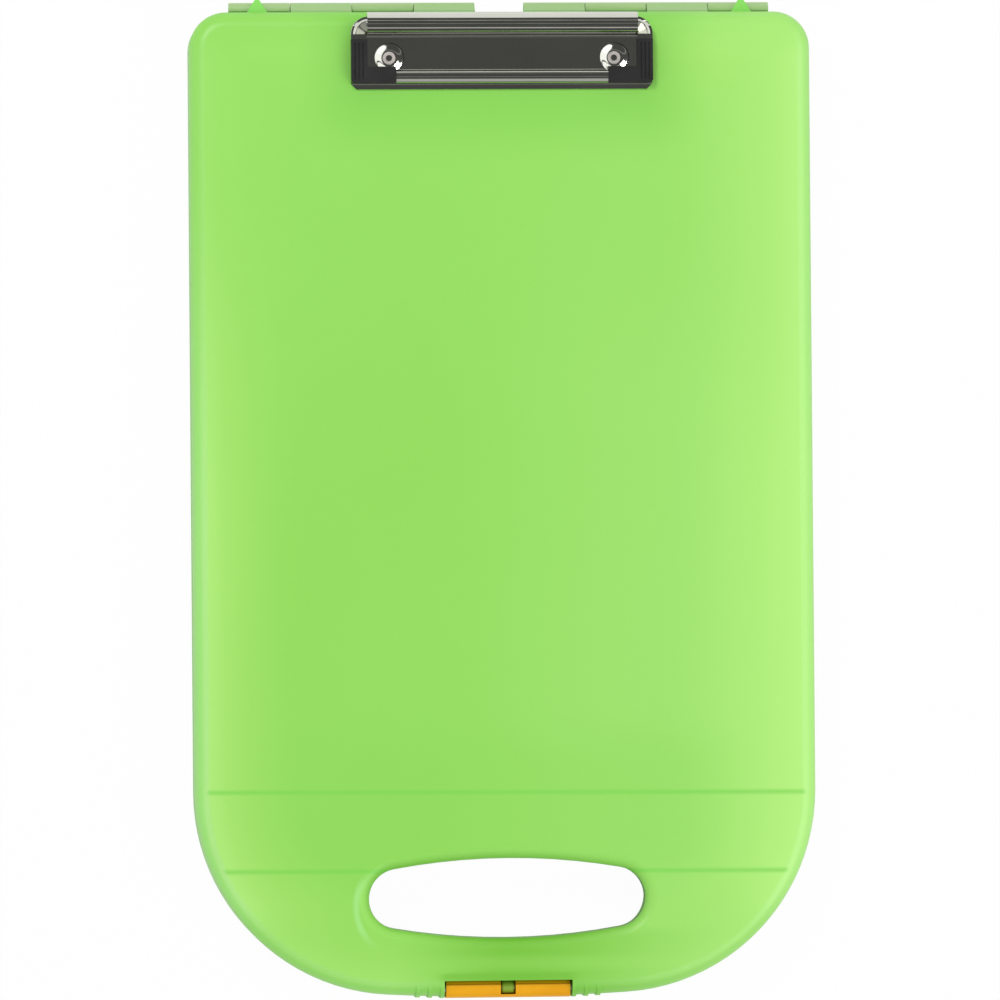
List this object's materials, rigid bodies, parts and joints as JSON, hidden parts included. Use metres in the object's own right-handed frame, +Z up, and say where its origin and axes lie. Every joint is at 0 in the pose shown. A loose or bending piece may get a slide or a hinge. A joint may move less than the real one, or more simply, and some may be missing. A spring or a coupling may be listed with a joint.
{
  "type": "storage clipboard",
  "caption": "Flat hinged storage case with a hand hole, a swing latch and a sprung board clip on its lid for loose sheets.",
  "frame": {"origin": "centre of the case outline on the desk plane, the case lying flat with its lid up", "axes": "+X to the right seen from above with the board clip at the far end, +Y from the handle end to the hinge end, +Z up through the lid"},
  "size_m": [0.254, 0.4077, 0.0389],
  "materials": {
    "tray_polypropylene": "satin translucent light green polypropylene",
    "lid_polypropylene": "satin translucent light green polypropylene",
    "latch_polypropylene": "satin amber polypropylene",
    "pin_steel": "bright drawn steel",
    "spring_steel": "oiled spring steel",
    "clip_chrome": "bright chrome plate",
    "grip_plastic": "satin black moulded plastic",
    "rivet_nickel": "nickel plate"
  },
  "bodies": {
    "tray": {"tray_shell": "tray_polypropylene", "hinge_pins": "pin_steel"},
    "lid": {"lid_shell": "lid_polypropylene", "latch_pin": "pin_steel", "clip_base_plate": "clip_chrome", "clip_pivot_pin": "pin_steel", "clip_spring": "spring_steel", "clip_rivets": "rivet_nickel", "rivet_washers": "rivet_nickel"},
    "latch": {"latch": "latch_polypropylene"},
    "jaw": {"clip_jaw": "clip_chrome", "clip_grip_left": "grip_plastic", "clip_grip_right": "grip_plastic"}
  },
  "joints": [
    {"name": "lid_hinge", "type": "hinge", "parent": "tray", "child": "lid", "pos_m": [0, 0.2027, 0.0181], "axis": [-1, 0, 0], "range_deg": [0, 135]},
    {"name": "latch_pivot", "type": "hinge", "parent": "lid", "child": "latch", "pos_m": [0, -0.1971, 0.0232], "axis": [-1, 0, 0], "range_deg": [0, 95]},
    {"name": "jaw_pivot", "type": "hinge", "parent": "lid", "child": "jaw", "pos_m": [0, 0.1956, 0.0343], "axis": [-1, 0, 0], "range_deg": [0, 45], "stiffness_Nm_per_rad": 0.25, "springref_deg": -68.75, "deforming": ["clip_spring"]}
  ]
}
